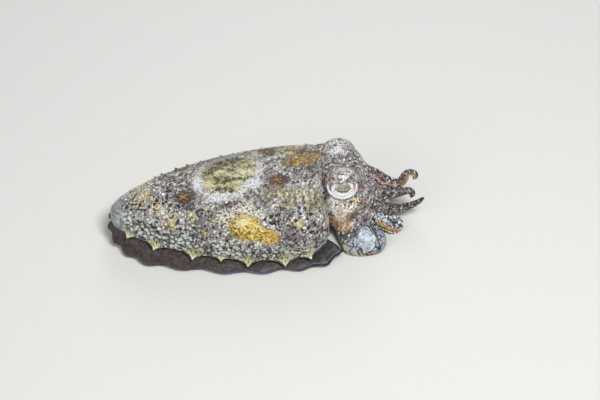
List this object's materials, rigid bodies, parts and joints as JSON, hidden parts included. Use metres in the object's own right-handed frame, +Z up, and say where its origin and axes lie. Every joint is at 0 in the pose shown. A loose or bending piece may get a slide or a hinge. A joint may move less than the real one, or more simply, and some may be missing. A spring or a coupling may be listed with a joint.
{
  "type": "elegant cuttlefish model",
  "caption": "Life-size still model of a small cuttlefish lying on its belly, with a broad mantle, fringing fins, raised eyes and a bunch of suckered arms.",
  "frame": {"origin": "on the floor plane under the middle of the belly, on the belly's flat", "axes": "+X from tail to arms, +Y towards the animal's left, +Z up"},
  "size_m": [0.0855, 0.0377, 0.0216],
  "materials": {
    "mantle_skin": "moist mottled skin, satin",
    "fin_skin": "thin dark purple-brown skin, satin",
    "head_skin": "moist mottled skin, satin",
    "arm_skin": "moist mottled skin, satin",
    "eye_gloss": "clear wet gloss",
    "underside_skin": "pale moist skin, satin"
  },
  "bodies": {
    "root": {"arm_left_1_base": "arm_skin", "arm_left_1_middle": "arm_skin", "arm_left_1_tip": "arm_skin", "arm_left_2_base": "arm_skin", "arm_left_2_tip": "arm_skin", "arm_left_3_base": "arm_skin", "arm_left_3_tip": "arm_skin", "arm_left_4": "arm_skin", "arm_right_1_base": "arm_skin", "arm_right_1_middle": "arm_skin", "arm_right_1_tip": "arm_skin", "arm_right_2_base": "arm_skin", "arm_right_2_tip": "arm_skin", "arm_right_3_base": "arm_skin", "arm_right_3_tip": "arm_skin", "arm_right_4": "arm_skin", "eye_left": "eye_gloss", "eye_right": "eye_gloss", "fin_left_front": "fin_skin", "fin_left_middle": "fin_skin", "fin_left_rear": "fin_skin", "fin_right_front": "fin_skin", "fin_right_middle": "fin_skin", "fin_right_rear": "fin_skin", "funnel": "underside_skin", "head": "head_skin", "mantle": "mantle_skin", "mouth": "underside_skin"}
  },
  "joints": []
}
